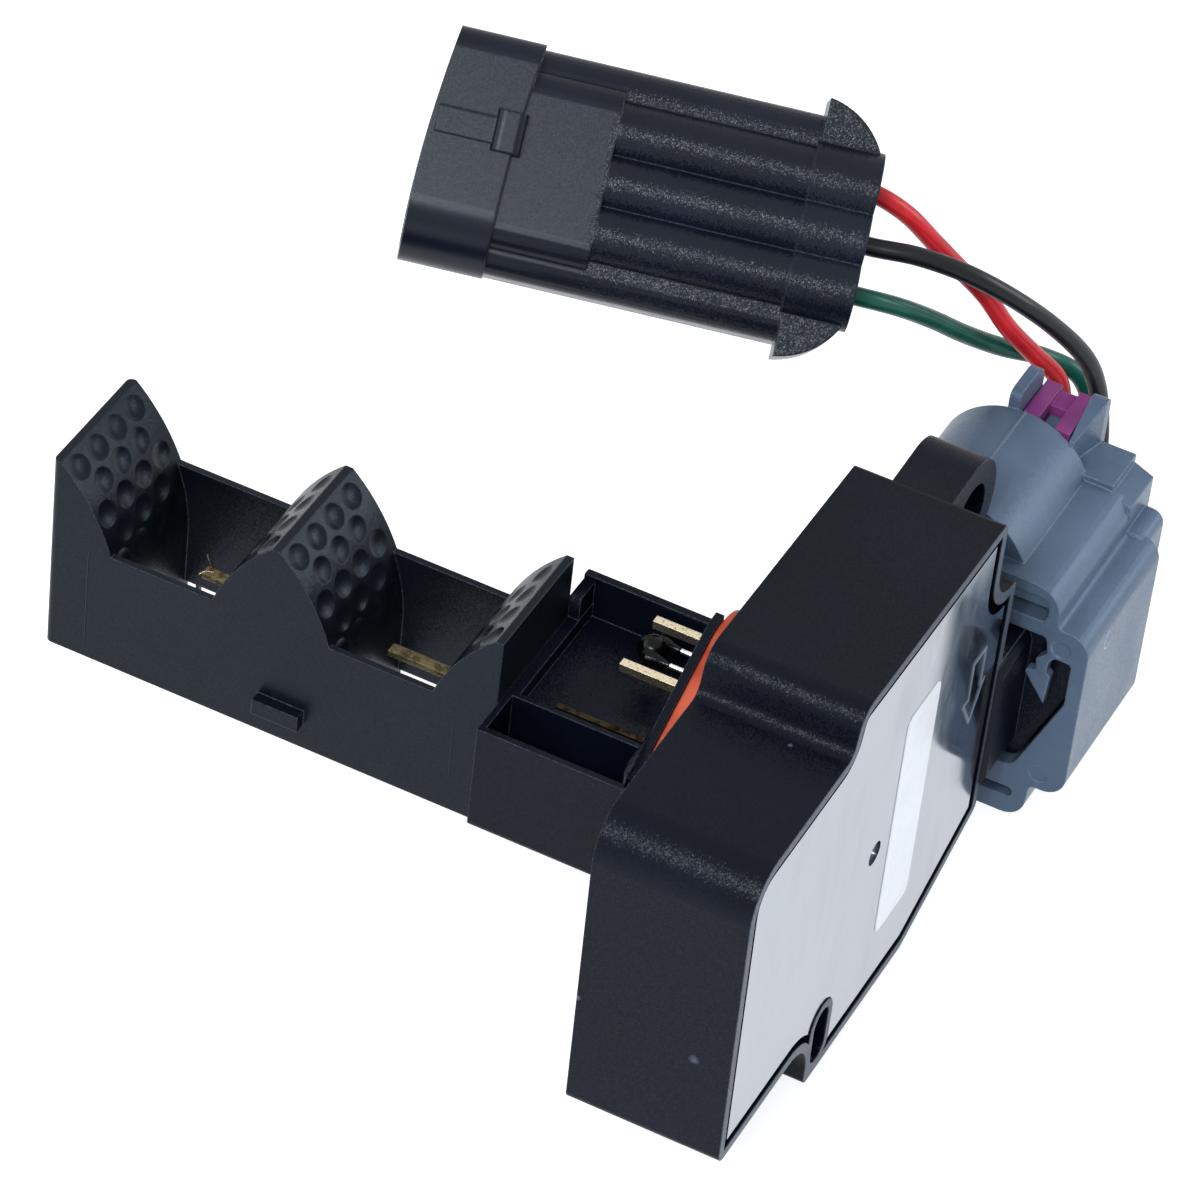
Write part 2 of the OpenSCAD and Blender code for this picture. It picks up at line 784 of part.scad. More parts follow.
// Slots through the lobes, the sunk face above the upper one and two ejector marks.
lobe_slot = [13.8, 1.6];
lobe_slot_c = [
  [cav_right - 4.3 - lobe_slot[0] / 2, cav_top + 3],
  [cav_right - 4.7 - lobe_slot[0] / 2, conn_low - 2.4]
];
lobe_face = [14, 3.7];
lobe_face_c = [cav_right - 4.1 - lobe_face[0] / 2, cav_top + 4.05];
ejector_d = 2.6;
ejector_c = [[cav_right - 1.7, web[1] + 1.7], [cav_right - 1.7, cav_low + 0.4]];

module connector_shell() {
  difference() {
    union() {
      along_y(conn_y, conn_back) polygon(rounded(shell_outline));
      along_y(tube_y0, conn_back) translate(tube_c) circle(r = tube_r);
      block(
        [tube_c[0] - seam_t, tube_y0, tube_c[1]],
        [tube_c[0] + seam_t, conn_back, tube_c[1] + tube_r + seam_t]
      );
    }
    along_y(conn_y - 1, cavity_end) polygon(rounded(cavity_outline));
    for (c = lobe_slot_c)
      along_y(conn_y - 1, conn_back - 6)
        polygon(rounded(box_corners(c, lobe_slot[0], lobe_slot[1], 0.7)));
    along_y(conn_y - 1, conn_y + 0.9)
      polygon(rounded(box_corners(lobe_face_c, lobe_face[0], lobe_face[1], 1.4)));
    for (c = ejector_c) along_y(conn_y - 1, conn_y + 0.2) translate(c) circle(d = ejector_d);
  }
}

module connector_housing() {
  core_w = shroud_w - 2 * shroud_t - 2 * core_gap;
  core_h = shroud_h - 2 * shroud_t - 2 * core_gap;
  color([0.42, 0.47, 0.53]) difference() {
    union() {
      connector_shell();
      along_y(conn_y + 2.5, cavity_end + eps)
        polygon(rounded(box_corners(shroud_c, core_w, core_h, 1.4)));
      latch();
      lock_guards();
      rear_steps();
    }
    for (x = pin_x) {
      block(
        [x - term_s / 2 - fit, term_y0, pin_z - term_s / 2 - fit],
        [x + term_s / 2 + fit, term_y1 + fit, pin_z + term_s / 2 + fit]
      );
      along_y(conn_y, term_y0 + 1) translate([x, pin_z]) square([1.2, 2], center = true);
      along_y(term_y1 - 1, conn_back) translate([x, pin_z]) circle(d = crimp_d + 2 * fit);
      along_y(conn_back - seal_len, conn_back + 1) translate([x, pin_z]) circle(d = seal_d);
    }
    block(
      [lock_x - lock_gap, conn_back - tongue_l - 4, lock_z[0] - lock_gap],
      [lock_x + lock_w + lock_gap, guard_y, lock_z[1] + lock_gap]
    );
  }
}

// Arrow-headed latch that hangs from the corner web beside the shroud.
module latch() {
  along_y(conn_y, conn_y + latch_t) translate(web) polygon([
    [1.2, 0.3], [0, 0.3], [-1.4, -1.1], [-1.2, -3],
    [-2.4, -3.3], [-2.5, -3.8], [0.5, -7.8], [0.8, -3.2], [0.2, -2.8], [0.3, -1]
  ]);
}

// Guards on both sides of the sliding lock, the shelf under it and the deck between its rails.
rail_w = 2.2;
rear_low = -4;
guard_x = [lock_x - lock_gap, lock_x + lock_w + lock_gap];
lock_bar = 3.4;

module lock_guards() {
  y0 = conn_back - eps;
  shelf = lock_z[0] - lock_gap - 2.4;
  along_x(guard_x[0] - guard_t, guard_x[0]) polygon(rounded([
    [y0, shelf, 0], [guard_y, shelf, 0.6], [guard_y, guard_z, 2.6], [y0, guard_z, 1.2]
  ]));
  intersection() {
    along_x(guard_x[1], guard_x[1] + guard_t + 0.7) polygon(rounded([
      [y0, rear_low, 0], [guard_y - 0.5, rear_low, 0.6], [guard_y - 0.5, guard_z - 1, 1.2],
      [guard_y - 2, guard_z - 1, 0.8], [y0, tube_c[1] + tube_r - 2, 0]
    ]));
    translate([guard_x[1], 0, rear_low]) linear_extrude(guard_z - rear_low) polygon([
      [0, y0], [0.7, y0], [guard_t + 0.7, guard_y - 2], [guard_t + 0.7, guard_y], [0, guard_y]
    ]);
  }
  block([guard_x[0] - guard_t, y0, shelf], [guard_x[1] + 1, guard_y - 0.5, lock_z[0] - lock_gap]);
  block(
    [lock_x + rail_w + lock_gap, y0, lock_z[1] + lock_gap],
    [lock_x + lock_w - rail_w - lock_gap, lock_y0 + lock_l - lock_bar - 0.3, lock_z[1] + 2.1]
  );
}

// Three steps behind the lobes, each lower than the one before.
step_x = [lobe_right - 2.8, lobe_right, conn_right - 1.8];
step_top = [lobe_top + 0.8, lobe_top - 1.6, conn_top + 0.4];
step_l = [6.4, 6.3, 5];

module rear_steps() {
  y0 = conn_back - 1;
  block([guard_x[1], y0, rear_low], [step_x[0], conn_back + step_l[0], step_top[0]]);
  along_y(y0, conn_back + step_l[1]) polygon([
    [step_x[0] - 0.2, rear_low], [step_x[1], rear_low],
    [step_x[1], step_top[1]], [step_x[0] - 0.2, step_top[1] + 1.3]
  ]);
  along_y(y0, conn_back + step_l[2]) polygon(rounded([
    [step_x[0], cav_low, 1], [step_x[2], cav_low, 2],
    [step_x[2], step_top[2], 1.8], [step_x[0], step_top[2], 0]
  ]));
}

// Purple slide: a tongue in its channel, two rails and a lower bar between them.
module connector_lock() {
  x1 = lock_x + lock_w;
  y1 = lock_y0 + lock_l;
  color([0.62, 0.3, 0.6]) {
    block([lock_x, conn_back - tongue_l, lock_z[0]], [x1, y1 - lock_bar + eps, lock_z[1]]);
    for (x = [lock_x, x1 - rail_w])
      block([x, lock_y0, lock_z[0]], [x + rail_w, y1, lock_z[2]]);
    block([lock_x, y1 - lock_bar, lock_z[0]], [x1, y1, lock_z[2] - 0.9]);
  }
}

// Ring between shroud and core, near the end of the shroud.
face_seal = [4, 0.6];

module interface_seal() {
  color([0.2, 0.2, 0.22]) along_y(shroud_end - face_seal[0], shroud_end - face_seal[1])
    difference() {
      shroud_shape(shroud_t);
      shroud_shape(shroud_t + core_gap);
    }
}

module terminal(i) {
  color([0.75, 0.7, 0.6]) {
    difference() {
      block(
        [pin_x[i] - term_s / 2, term_y0 + 1, pin_z - term_s / 2],
        [pin_x[i] + term_s / 2, term_y1, pin_z + term_s / 2]
      );
      along_y(term_y0, blade_end + 1)
        translate([pin_x[i], pin_z])
        square([blade_t + 0.1, blade_w + 0.1], center = true);
    }
    along_y(term_y1 - eps, wire_y0) translate([pin_x[i], pin_z]) circle(d = crimp_d);
  }
}

module cable_seal(i) {
  color([0.3, 0.3, 0.33]) along_y(conn_back - seal_len, conn_back) translate([pin_x[i], pin_z])
    difference() {
      circle(d = seal_d);
      circle(d = wire_bore);
    }
}

// Adapter parts are drawn with the wire end at x = 0 and the mouth at x = -adapter_l.
module adapter_pose() {
  translate(adapter_at) rotate(adapter_turn) children();
}

// The mouth is keyed: one end of its section is round, the other nearly square.
round_y = (adapter_t - adapter_w) / 2;
key_y = body_w / 2 + 0.2;
key_outline = [
  [round_y, -adapter_t / 2, 0],
  [key_y, -adapter_t / 2, key_r],
  [key_y, adapter_t / 2, key_r],
  [round_y, adapter_t / 2, 0]
];
plateau_half = adapter_pitch + ridge_r + 1;
plateau_outline = box_corners([0, 0], 2 * plateau_half, body_t, body_r);
base_outline = [
  [-body_w / 2, -body_t / 2, body_r],
  [body_w / 2, -body_t / 2, body_r],
  [body_w / 2, ridge_base, body_r],
  [-body_w / 2, ridge_base, body_r]
];
end_half = adapter_pitch + 3.9;
end_outline = [
  [-end_half, -body_t / 2, body_r],
  [end_half, -body_t / 2, body_r],
  [end_half, collar_z, 0],
  [-end_half, collar_z, 0]
];

// Wide upright disc that reaches to -reach and bows the edges of mouth and collar.
module bow(reach) {
  translate([bow_r - reach, bow_y, -adapter_t]) cylinder(r = bow_r, h = 2 * adapter_t, $fn = 180);
}

module mouth_shape() {
  polygon(rounded(key_outline));
  translate([round_y, 0]) circle(r = adapter_t / 2);
}

module adapter_shell() {
  intersection() {
    along_x(-mouth_x, -mouth_x + mouth_collar + 2 * mouth_bow) mouth_shape();
    difference() {
      bow(mouth_x);
      bow(mouth_x - mouth_collar);
    }
  }
  intersection() {
    union() {
      along_x(-mouth_x, -ridge_x) polygon(rounded(plateau_outline));
      along_x(-mouth_x, -fin_x + eps) polygon(rounded(base_outline));
    }
    bow(mouth_x);
  }
  along_x(-fin_x - 0.4, 0) polygon(rounded(end_outline));
  for (i = [-1 : 1]) {
    along_x(-ridge_x - eps, -fin_x) translate([i * adapter_pitch, ridge_z]) circle(r = ridge_r);
    along_x(-fin_x - 0.4, 0) translate([i * adapter_pitch, collar_z]) circle(r = collar_r);
  }
}

module adapter_housing() {
  color([0.12, 0.13, 0.15]) adapter_pose() difference() {
    union() {
      adapter_shell();
      lock_bridge();
      end_plate();
    }
    along_x(-mouth_x - 1, -adapter_l + mouth_deep) {
      polygon(rounded(inset(plateau_outline, mouth_wall)));
      polygon(rounded(inset(base_outline, mouth_wall)));
    }
    for (i = [-1 : 1]) translate([0, i * adapter_pitch, 0]) rotate([0, -90, 0]) {
      cylinder(d = 3, h = adapter_l - mouth_deep + 1);
      cylinder(d = adapter_seal_d, h = adapter_recess + adapter_seal_l);
    }
  }
}

// Rail and bridge of the lock on the front of the mouth.
rail_y = [0.9, 4.2];
bridge_y = [0.1, 5.3];
bridge_in = 6.8;
bridge_l = 3.8;
bridge_x = [bridge_in - adapter_l, bridge_in + bridge_l - adapter_l];
bridge_h = 1.3;

module lock_bridge() {
  z = adapter_t / 2;
  block([-adapter_l - 0.4, rail_y[0], z - 1], [bridge_x[0] + 0.5, rail_y[1], z + 0.5]);
  difference() {
    along_y(bridge_y[0], bridge_y[1]) polygon(rounded([
      [bridge_x[0], body_t / 2 - 0.5, 0], [bridge_x[1], body_t / 2 - 0.5, 0],
      [bridge_x[1], z + bridge_h, 1], [bridge_x[0], z + bridge_h, 1]
    ]));
    block(
      [bridge_x[0] + 1.6, rail_y[0], body_t / 2 + eps],
      [bridge_x[1] + 1, rail_y[1], z + bridge_h - 0.9]
    );
  }
}

// End plate whose wings sweep in towards the wires.
module end_plate() {
  translate([0, 0, -2]) linear_extrude(2 + ridge_base) intersection() {
    union() {
      for (s = [-1, 1]) translate([wing_c[0], s * wing_c[1]]) circle(r = wing_r, $fn = 96);
      translate([wing_c[0], -wing_c[1]]) square([wing_r, 2 * wing_c[1]]);
    }
    translate([-fin_x, -adapter_w]) square([fin_x, 2 * adapter_w]);
  }
}

module adapter_pin(i) {
  color([0.78, 0.74, 0.66]) adapter_pose() translate([0, i * adapter_pitch, 0])
    rotate([0, -90, 0]) {
      translate([0, 0, -adapter_wire_x]) cylinder(d = 2.4, h = adapter_crimp + eps);
      translate([0, 0, adapter_crimp - adapter_wire_x])
        cylinder(d = 2.9, h = adapter_l - mouth_deep - adapter_crimp + adapter_wire_x);
      translate([0, 0, adapter_l - mouth_deep - eps]) cylinder(d = 2, h = mouth_deep - pin_recess);
    }
}

module adapter_seal(i) {
  color([0.25, 0.25, 0.28]) adapter_pose() translate([0, i * adapter_pitch, 0])
    rotate([0, -90, 0]) translate([0, 0, adapter_recess]) difference() {
      cylinder(d = adapter_seal_d, h = adapter_seal_l);
      translate([0, 0, -1]) cylinder(d = wire_bore, h = adapter_seal_l + 2);
    }
}

module wire_red() {
  color([0.85, 0.15, 0.18]) wire(red_route);
}

module wire_green() {
  color([0.1, 0.4, 0.33]) wire(green_route);
}

module wire_black() {
  color([0.12, 0.12, 0.14]) wire(black_route);
}

sensor_housing();
flow_probe();
housing_cover();
gasket();
circuit_board();
window_stub();
window_bar();
root_bar();
post(post_y[0]);  // post_front
post(post_y[1]);  // post_rear
temperature_bead();
bead_leads();
blade(0);  // blade_red
blade(1);  // blade_green
blade(2);  // blade_black
connector_housing();
connector_lock();
interface_seal();
terminal(0);  // terminal_red
terminal(1);  // terminal_green
terminal(2);  // terminal_black
cable_seal(0);  // seal_red
cable_seal(1);  // seal_green
cable_seal(2);  // seal_black
wire_red();
wire_green();
wire_black();
adapter_housing();
adapter_pin(1);  // adapter_pin_red
adapter_pin(-1);  // adapter_pin_green
adapter_pin(0);  // adapter_pin_black
adapter_seal(1);  // adapter_seal_red
adapter_seal(-1);  // adapter_seal_green
adapter_seal(0);  // adapter_seal_black
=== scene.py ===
import math

import bmesh
import bpy
import numpy as np
from mathutils import Matrix, Vector


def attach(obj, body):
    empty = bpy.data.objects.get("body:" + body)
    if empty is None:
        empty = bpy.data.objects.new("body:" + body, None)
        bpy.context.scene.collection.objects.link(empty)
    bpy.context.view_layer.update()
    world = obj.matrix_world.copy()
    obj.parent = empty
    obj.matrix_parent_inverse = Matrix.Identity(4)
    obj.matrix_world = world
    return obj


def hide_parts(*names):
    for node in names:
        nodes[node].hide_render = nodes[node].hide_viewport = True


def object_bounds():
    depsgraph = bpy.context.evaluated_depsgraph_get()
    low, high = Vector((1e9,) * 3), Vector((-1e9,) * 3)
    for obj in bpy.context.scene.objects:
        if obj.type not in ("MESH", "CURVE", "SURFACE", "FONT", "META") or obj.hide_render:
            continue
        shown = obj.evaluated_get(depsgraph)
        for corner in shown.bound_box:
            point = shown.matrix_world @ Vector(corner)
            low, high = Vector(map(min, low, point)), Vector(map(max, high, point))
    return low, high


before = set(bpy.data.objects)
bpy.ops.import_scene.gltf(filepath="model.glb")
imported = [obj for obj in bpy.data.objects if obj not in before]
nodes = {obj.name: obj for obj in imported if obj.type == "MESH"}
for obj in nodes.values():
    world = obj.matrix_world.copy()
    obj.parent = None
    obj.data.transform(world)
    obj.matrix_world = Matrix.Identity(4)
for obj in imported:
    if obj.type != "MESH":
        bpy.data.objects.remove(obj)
cad_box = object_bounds()

# Camera
# A long lens well above the ramps, turned towards the cover side, with the picture's own slight
# tilt. The place and angles were fitted to the straight edges of the box and the probe.
VIEW_PLACE = (0.20775, -0.55077, 0.54564)
VIEW_AZIMUTH = 22.354
VIEW_ELEVATION = 41.601
VIEW_TILT = 6.916
LENS_MM = 198.83

lens = bpy.data.cameras.new("photo_camera")
lens.lens = LENS_MM
lens.sensor_width = 36
lens.clip_start = 0.05
lens.clip_end = 20
camera = bpy.data.objects.new("photo_camera", lens)
bpy.context.scene.collection.objects.link(camera)
camera.matrix_world = (
    Matrix.Translation(VIEW_PLACE)
    @ Matrix.Rotation(math.radians(VIEW_AZIMUTH), 4, "Z")
    @ Matrix.Rotation(math.radians(90 - VIEW_ELEVATION), 4, "X")
    @ Matrix.Rotation(math.radians(VIEW_TILT), 4, "Z")
)
bpy.context.scene.camera = camera
bpy.context.scene.view_settings.view_transform = "Standard"

# Wires
# Three automotive leads with thin soft-plastic insulation, crimped in the grey connector, bent up
# behind it and pushed through their seals into the adapter. They cross once, red over green.
WIRE_ROUTES_MM = {
    "red": [
        (8.1, 63, -11.2), (8.1, 69, -11.2), (8.1, 74.6, -9.6), (8.3, 79, -5.4),
        (8.5, 81.2, 0.4), (7.7, 80.6, 6.6), (4.6, 78, 11.4), (1.4, 75.6, 16),
        (-1.8, 74, 21), (-5, 71.8, 25.4), (-8.2, 69.8, 29.6), (-11.4, 67.6, 34),
        (-15.2, 65.5, 37), (-18.7, 64.2, 37.4), (-21.8, 63.1, 37.8),
    ],
    "green": [
        (12.6, 63, -11.2), (12.6, 69, -11.2), (12.5, 75.4, -10.4), (12.2, 81, -7),
        (11.6, 84.8, -1.2), (9.2, 84.6, 5), (4.9, 82, 8.2), (0.6, 76.8, 11.6),
        (-2.8, 71.6, 15.8), (-5.6, 66.8, 20.2), (-8.4, 62, 24.2), (-11.9, 57.8, 27.1),
        (-16.6, 55.4, 28.1), (-19.6, 54.2, 28.5),
    ],
    "black": [
        (17.1, 63, -11.2), (17.1, 69, -11.2), (16.6, 74.8, -9.8), (15.4, 79.2, -5.6),
        (14, 81.6, 0.6), (12.8, 81, 7.6), (11.1, 78.8, 13.4), (7.6, 74.8, 19.6),
        (3, 70.2, 25.4), (-2.2, 66.6, 29.4), (-7.8, 63.7, 31.6), (-13, 61.5, 32.2),
        (-17.7, 59.8, 32.8), (-20.7, 58.6, 33.2),
    ],
}
WIRE_DIAMETER = 0.00246
WIRE_TONES = {"red": (216, 34, 44), "green": (12, 94, 80), "black": (13, 15, 19)}


def tone(red, green, blue):
    """An 8-bit display colour as linear values: the display curve is undone channel by channel."""
    c = np.array([red, green, blue]) / 255
    linear = np.where(c <= 0.04045, c / 12.92, ((c + 0.055) / 1.055) ** 2.4)
    return (*linear.tolist(), 1.0)


def add_node(tree, kind, sockets=None, **options):
    """A new node with its options set, and its sockets set by name or number, a link or a value."""
    node = tree.nodes.new(kind)
    for name, value in options.items():
        setattr(node, name, value)
    for name, value in (sockets or {}).items():
        if isinstance(value, bpy.types.NodeSocket):
            tree.links.new(value, node.inputs[name])
        else:
            node.inputs[name].default_value = value
    return node


def new_material(name, sockets):
    """A material with its shader's constant sockets set. Returns it, its tree, shader and place."""
    material = bpy.data.materials.new(name)
    material.use_nodes = True
    tree = material.node_tree
    shader = tree.nodes["Principled BSDF"]
    for socket, value in sockets.items():
        shader.inputs[socket].default_value = value
    place = add_node(tree, "ShaderNodeTexCoord").outputs["Object"]
    return material, tree, shader, place


def noise(tree, place, per_metre, detail=2.0, roughness=0.5):
    """Noise over the object's own coordinates, with about so many lumps in a metre."""
    sockets = {"Vector": place, "Scale": per_metre, "Detail": detail, "Roughness": roughness}
    return add_node(tree, "ShaderNodeTexNoise", sockets).outputs["Fac"]


def spread(tree, value, low, high, out_low, out_high):
    """The value's stretch from low to high laid out from out_low to out_high, and held beyond."""
    sockets = {
        "Value": value, "From Min": low, "From Max": high, "To Min": out_low, "To Max": out_high,
    }
    return add_node(tree, "ShaderNodeMapRange", sockets, clamp=True).outputs["Result"]


def blend_colours(tree, share, first, second):
    """First colour where share is 0, second where it is 1, and a straight mix between."""
    node = add_node(tree, "ShaderNodeMix", data_type="RGBA")
    for index, value in ((0, share), (6, first), (7, second)):
        if isinstance(value, bpy.types.NodeSocket):
            tree.links.new(value, node.inputs[index])
        else:
            node.inputs[index].default_value = value
    return node.outputs[2]


def soft_insulation(name, colour):
    """Extruded insulation: an even colour in slow darker patches, a low sheen that comes and goes, a
    faintly lumpy skin.
    """
    material, tree, shader, place = new_material(
        name, {"IOR": 1.46, "Specular IOR Level": 0.2, "Coat Weight": 0.2, "Coat Roughness": 0.14}
    )
    patches = noise(tree, place, 260)
    darker = tuple(0.72 * value for value in colour[:3]) + (1.0,)
    share = spread(tree, patches, 0.35, 0.7, 0.0, 1.0)
    tree.links.new(blend_colours(tree, share, darker, colour), shader.inputs["Base Color"])
    sheen = spread(tree, noise(tree, place, 900), 0.3, 0.7, 0.34, 0.5)
    tree.links.new(sheen, shader.inputs["Roughness"])
    lumps = noise(tree, place, 1700, 3.0)
    bump = {"Strength": 0.5, "Distance": 0.00003, "Height": lumps}
    tree.links.new(add_node(tree, "ShaderNodeBump", bump).outputs["Normal"], shader.inputs["Normal"])
    return material


def smooth_line(knots, steps):
    """Curve through the knots, in metres. Each span is the cubic that leaves a knot along the line
    from the knot before it to the one after, so neighbouring spans share their slope."""
    p = np.array(knots) * 0.001
    a, b, c, d = (
        q[:, None, :]
        for q in (np.vstack([2 * p[0] - p[1], p[:-2]]), p[:-1], p[1:],
                  np.vstack([p[2:], 2 * p[-1] - p[-2]]))
    )
    t = np.linspace(0, 1, steps, endpoint=False)[None, :, None]
    cubic = 2 * b + (c - a) * t + (2 * a - 5 * b + 4 * c - d) * t**2 + (3 * b - a - 3 * c + d) * t**3
    return np.vstack([cubic.reshape(-1, 3) / 2, p[-1:]])


def grid_mesh(name, points, close_along=False, caps=(), smooth=True):
    """Mesh of a grid of points, rows by columns, with a quad for each cell. The columns close into
    rings, the rows may close too, and caps are rows that get one flat face each."""
    rows, columns = points.shape[:2]
    i, k = np.meshgrid(
        np.arange(rows if close_along else rows - 1), np.arange(columns), indexing="ij"
    )
    j, n = (i + 1) % rows, (k + 1) % columns
    quads = np.stack([i * columns + k, i * columns + n, j * columns + n, j * columns + k], axis=-1)
    ends = [
        (row * columns + np.arange(columns))[:: 1 if row else -1].tolist() for row in caps
    ]
    mesh = bpy.data.meshes.new(name)
    mesh.from_pydata(points.reshape(-1, 3).tolist(), [], quads.reshape(-1, 4).tolist() + ends)
    mesh.validate()
    if smooth:
        mesh.shade_smooth()
    else:
        mesh.shade_flat()
    return mesh


def tube_mesh(name, line, radius, sides=24):
    """A circle carried along the line. Each ring stands square to the line: its first axis is the
    cross product of a fixed slanting direction with the line's own, its second closes the frame."""
    along = np.gradient(line, axis=0)
    along /= np.linalg.norm(along, axis=1, keepdims=True)
    first = np.cross(np.array([1.0, -1.0, 1.0]), along)
    first /= np.linalg.norm(first, axis=1, keepdims=True)
    second = np.cross(along, first)
    turn = np.linspace(0, 2 * math.pi, sides, endpoint=False)[None, :, None]
    rings = line[:, None] + radius * (np.cos(turn) * first[:, None] + np.sin(turn) * second[:, None])
    return grid_mesh(name, rings, caps=(0, len(line) - 1))


def add_piece(name, mesh, material, body="sensor", replaces=()):
    """An object for the mesh, at the origin, with its material, its body and what it stands for."""
    piece = bpy.data.objects.new(name, mesh)
    bpy.context.scene.collection.objects.link(piece)
    mesh.materials.append(material)
    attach(piece, body)
    if replaces:
        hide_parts(*replaces)
    return piece


for colour, route in WIRE_ROUTES_MM.items():
    line = smooth_line(route, 10)
    insulation = soft_insulation(f"insulation_{colour}", tone(*WIRE_TONES[colour]))
    wire = add_piece(
        f"lead_{colour}", tube_mesh(f"lead_{colour}", line, WIRE_DIAMETER / 2), insulation,
        replaces=(f"wire_{colour}",),
    )

# Sensor housing and flow probe
# Two mouldings of black glass-filled plastic, welded to each other at the root. The mould's fine
# eroded skin glitters where a lamp grazes it. Handling wear marks the rim, and the edges are painted pale
# in specks, partly as wear and partly as a painted highlight.
HOUSING_TONES = ((7, 11, 21), (11, 16, 28))
PROBE_TONES = ((10, 13, 19), (14, 18, 25))
# Pale tone for wear on the rim and the scuffs, and for the edges, where it is also a painted highlight.
WEAR_AND_HIGHLIGHT_TONE = (104, 114, 130)
RIM_X = 0.0205
SCUFFS_MM = {(15.7, -37.94, -10.2): 1.0, (0.2, -37.98, -8.2): 0.6, (13.2, -14.2, 20.4): 0.5}


def maths(tree, operation, *values):
    """One arithmetic node on these values, each a link or a number."""
    sockets = dict(enumerate(values))
    return add_node(tree, "ShaderNodeMath", sockets, operation=operation).outputs[0]


def moulded_plastic(
    name, dark, pale, rough, edge, gloss, glint, crystals,
    wear_and_highlight_tone=WEAR_AND_HIGHLIGHT_TONE, rim=None, scuffs=None, grain_from=None,
):
    """Moulded plastic: cloudy colour between two tones under an eroded skin. So many crystals a
    metre each turn the skin their own way, and the clear top layer most, so it glints where one
    faces a lamp. With grain_from, a direction and a place along it, the skin before that place is
    smooth. Edges look rounded by edge metres and are painted pale in specks, partly as wear and
    partly as a painted highlight along the edge: the share is the angle between the face and its
    rounded direction, times ragged noise. The rim is a face that is pale all over with wear, named
    by its X. Scuffs are pale spots with a ragged outline, each with its radius in millimetres."""
    material, tree, shader, place = new_material(
        name, {"IOR": 1.5, "Specular IOR Level": gloss, "Specular Tint": (0.6, 0.79, 1.0, 1.0),
               "Coat Weight": glint, "Coat Roughness": 0.26, "Coat IOR": 1.5}
    )
    clouds = spread(tree, noise(tree, place, 60, 4.0, 0.6), 0.35, 0.65, 0.0, 1.0)
    colour = blend_colours(tree, clouds, dark, pale)
    ragged = noise(tree, place, 2600, 3.0, 0.7)
    rounded = add_node(tree, "ShaderNodeBevel", {"Radius": edge}, samples=6).outputs["Normal"]
    face = add_node(tree, "ShaderNodeNewGeometry").outputs["Normal"]
    turned = add_node(
        tree, "ShaderNodeVectorMath", {0: rounded, 1: face}, operation="DOT_PRODUCT"
    ).outputs["Value"]
    # Edge specks: pale where the rounded normal turns from the face, part wear and part painted highlight.
    wear_and_highlight = maths(tree, "MULTIPLY", spread(tree, turned, 0.8, 0.985, 1.0, 0.0), ragged)
    wear_and_highlight = spread(tree, wear_and_highlight, 0.3, 0.6, 0.0, 0.7)
    if rim:
        x = add_node(tree, "ShaderNodeSeparateXYZ", {"Vector": place}).outputs["X"]
        on_rim = maths(tree, "COMPARE", x, rim, 0.00006)
        wear_and_highlight = maths(tree, "MAXIMUM", wear_and_highlight, maths(tree, "MULTIPLY", on_rim, ragged))
    for centre, radius in (scuffs or {}).items():
        far = add_node(
            tree, "ShaderNodeVectorMath",
            {0: place, 1: tuple(0.001 * c for c in centre)}, operation="DISTANCE",
        ).outputs["Value"]
        spot = maths(tree, "MULTIPLY", spread(tree, far, 0.0, 0.001 * radius, 1.0, 0.0), ragged)
        wear_and_highlight = maths(tree, "MAXIMUM", wear_and_highlight, spread(tree, spot, 0.12, 0.5, 0.0, 0.9))
    tree.links.new(
        blend_colours(tree, wear_and_highlight, colour, tone(*wear_and_highlight_tone)), shader.inputs["Base Color"]
    )
    broad = noise(tree, place, 120, 3.0)
    tree.links.new(
        spread(tree, broad, 0.3, 0.7, rough - 0.05, rough + 0.06), shader.inputs["Roughness"]
    )
    facets = add_node(
        tree, "ShaderNodeTexVoronoi", {"Vector": place, "Scale": float(crystals)}
    ).outputs["Color"]
    lean = add_node(
        tree, "ShaderNodeVectorMath", {0: facets, 1: (0.5, 0.5, 0.5)}, operation="SUBTRACT"
    ).outputs["Vector"]
    if grain_from:
        direction, start = grain_from
        along = add_node(
            tree, "ShaderNodeVectorMath", {0: place, 1: direction}, operation="DOT_PRODUCT"
        ).outputs["Value"]
        grain = spread(tree, along, start - 0.0005, start + 0.0005, 0.12, 1.0)
        lean = add_node(
            tree, "ShaderNodeVectorMath", {0: lean, "Scale": grain}, operation="SCALE"
        ).outputs["Vector"]
    for socket, most in (("Normal", 0.1), ("Coat Normal", 0.3)):
        leaning = add_node(
            tree, "ShaderNodeVectorMath", {0: lean, 1: (most,) * 3, 2: rounded},
            operation="MULTIPLY_ADD",
        ).outputs["Vector"]
        turned_skin = add_node(
            tree, "ShaderNodeVectorMath", {0: leaning}, operation="NORMALIZE"
        ).outputs["Vector"]
        tree.links.new(turned_skin, shader.inputs[socket])
    return material


def smoothed_copy(name, node, material, crease=26):
    """The node's own solid with its loose corners joined, shaded smooth over its small facets. An
    edge sharper than the crease angle stays crisp. Flat areas become single wide faces, which keep
    their direction up to their edges."""
    joined = bmesh.new()
    joined.from_mesh(nodes[node].data)
    bmesh.ops.remove_doubles(joined, verts=joined.verts, dist=1e-6)
    bmesh.ops.dissolve_limit(
        joined, angle_limit=math.radians(0.3), verts=joined.verts, edges=joined.edges
    )
    mesh = bpy.data.meshes.new(name)
    joined.to_mesh(mesh)
    joined.free()
    mesh.shade_smooth()
    mesh.set_sharp_from_angle(angle=math.radians(crease))
    piece = add_piece(name, mesh, material, replaces=(node,))
    flat_faces = piece.modifiers.new("flat_faces", "WEIGHTED_NORMAL")
    flat_faces.keep_sharp = True
    flat_faces.weight = 50
    return piece


def dress(material, *names):
    """The material in every slot of these CAD nodes."""
    for name in names:
        slots = nodes[name].data.materials
        slots.clear()
        slots.append(material)


